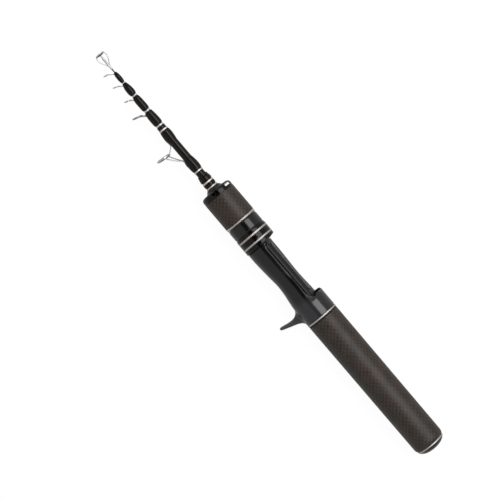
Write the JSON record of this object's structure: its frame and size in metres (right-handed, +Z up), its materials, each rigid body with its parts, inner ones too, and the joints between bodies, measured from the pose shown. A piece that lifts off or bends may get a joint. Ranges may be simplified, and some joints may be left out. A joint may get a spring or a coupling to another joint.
{
  "type": "telescopic fishing rod",
  "caption": "Closed telescopic casting rod with gloss black blanks, ring guides, woven-look grips, trigger reel seat and bright trim rings.",
  "frame": {"origin": "centre of the bounding box's footprint, on the ground the rod lies on", "axes": "+X runs from the tip ring to the butt cap along the rod, +Z is up from the ground, and the trigger leans down towards -Y"},
  "size_m": [0.4134, 0.047, 0.0282],
  "materials": {
    "blank_gloss": "gloss black lacquer",
    "thread_wrap": "clear epoxy over black thread",
    "trim_metal": "satin, warm silver anodised",
    "gloss_black": "gloss",
    "seat_satin": "satin",
    "woven_grip": "woven diamond pattern under a satin coat",
    "grip_foam": "matt",
    "guide_steel": "polished",
    "guide_ring": "polished",
    "rubber": "matt"
  },
  "bodies": {
    "handle": {"butt_blank": "blank_gloss", "butt_front_wrap": "thread_wrap", "butt_middle_trim_ring": "trim_metal", "butt_rear_wrap": "thread_wrap", "butt_rear_trim_ring": "trim_metal", "front_cap": "gloss_black", "fore_grip_core": "grip_foam", "fore_grip_skin": "woven_grip", "fore_trim_ring": "trim_metal", "seat_barrel": "seat_satin", "deck_pad": "seat_satin", "palm_shell": "seat_satin", "rear_hood": "gloss_black", "rear_trim_ring": "trim_metal", "rear_grip_core": "grip_foam", "rear_grip_skin": "woven_grip", "butt_insert": "seat_satin"},
    "hood": {"moving_hood": "gloss_black", "moving_hood_band_1": "trim_metal", "moving_hood_band_2": "trim_metal"},
    "nut": {"lock_nut": "gloss_black"},
    "band": {"butt_band": "trim_metal", "butt_seal": "rubber"},
    "cap": {"butt_cap": "gloss_black", "butt_cushion": "rubber"},
    "section_6": {"section_6_tube": "blank_gloss", "section_6_front_trim_ring": "trim_metal", "section_6_rear_trim_ring": "trim_metal", "front_foot_wrap": "thread_wrap", "rear_foot_wrap": "thread_wrap", "guide_5_frame": "guide_steel", "guide_5_ring": "guide_ring"},
    "tip": {"tip_blank": "blank_gloss", "tip_ferrule": "guide_steel", "tip_ring": "guide_ring"},
    "section_5": {"section_5_tube": "blank_gloss", "section_5_wrap": "thread_wrap", "section_5_trim_ring": "trim_metal", "guide_4_frame": "guide_steel", "guide_4_ring": "guide_ring"},
    "section_4": {"section_4_tube": "blank_gloss", "section_4_wrap": "thread_wrap", "section_4_trim_ring": "trim_metal", "guide_3_frame": "guide_steel", "guide_3_ring": "guide_ring"},
    "section_3": {"section_3_tube": "blank_gloss", "section_3_wrap": "thread_wrap", "section_3_trim_ring": "trim_metal", "guide_2_frame": "guide_steel", "guide_2_ring": "guide_ring"},
    "section_2": {"section_2_tube": "blank_gloss", "section_2_wrap": "thread_wrap", "section_2_trim_ring": "trim_metal", "guide_1_frame": "guide_steel", "guide_1_ring": "guide_ring"}
  },
  "joints": [
    {"name": "section_6_slide", "type": "slide", "parent": "handle", "child": "section_6", "axis": [-1, 0, 0], "range_m": [0, 0.223]},
    {"name": "section_5_slide", "type": "slide", "parent": "section_6", "child": "section_5", "axis": [-1, 0, 0], "range_m": [0, 0.278]},
    {"name": "section_4_slide", "type": "slide", "parent": "section_5", "child": "section_4", "axis": [-1, 0, 0], "range_m": [0, 0.298]},
    {"name": "section_3_slide", "type": "slide", "parent": "section_4", "child": "section_3", "axis": [-1, 0, 0], "range_m": [0, 0.318]},
    {"name": "section_2_slide", "type": "slide", "parent": "section_3", "child": "section_2", "axis": [-1, 0, 0], "range_m": [0, 0.335]},
    {"name": "tip_slide", "type": "slide", "parent": "section_2", "child": "tip", "axis": [-1, 0, 0], "range_m": [0, 0.351]},
    {"name": "hood_slide", "type": "slide", "parent": "handle", "child": "hood", "axis": [1, 0, 0], "range_m": [0, 0.0101]},
    {"name": "nut_spin", "type": "hinge", "parent": "hood", "child": "nut", "pos_m": [-0.0269, 0.00938, 0.0142], "axis": [1, 0, 0], "range_deg": [0, 1800]},
    {"name": "butt_band_slide", "type": "slide", "parent": "handle", "child": "band", "axis": [1, 0, 0], "range_m": [0, 0.0121]},
    {"name": "butt_cap_spin", "type": "hinge", "parent": "band", "child": "cap", "pos_m": [0.2013, 0.00938, 0.0142], "axis": [1, 0, 0], "range_deg": [0, 2880]}
  ],
  "couplings": [
    {"joint": "hood_slide", "follows": "nut_spin", "m_per_rad": 0.00031831},
    {"joint": "butt_band_slide", "follows": "butt_cap_spin", "m_per_rad": 0.00023873}
  ]
}
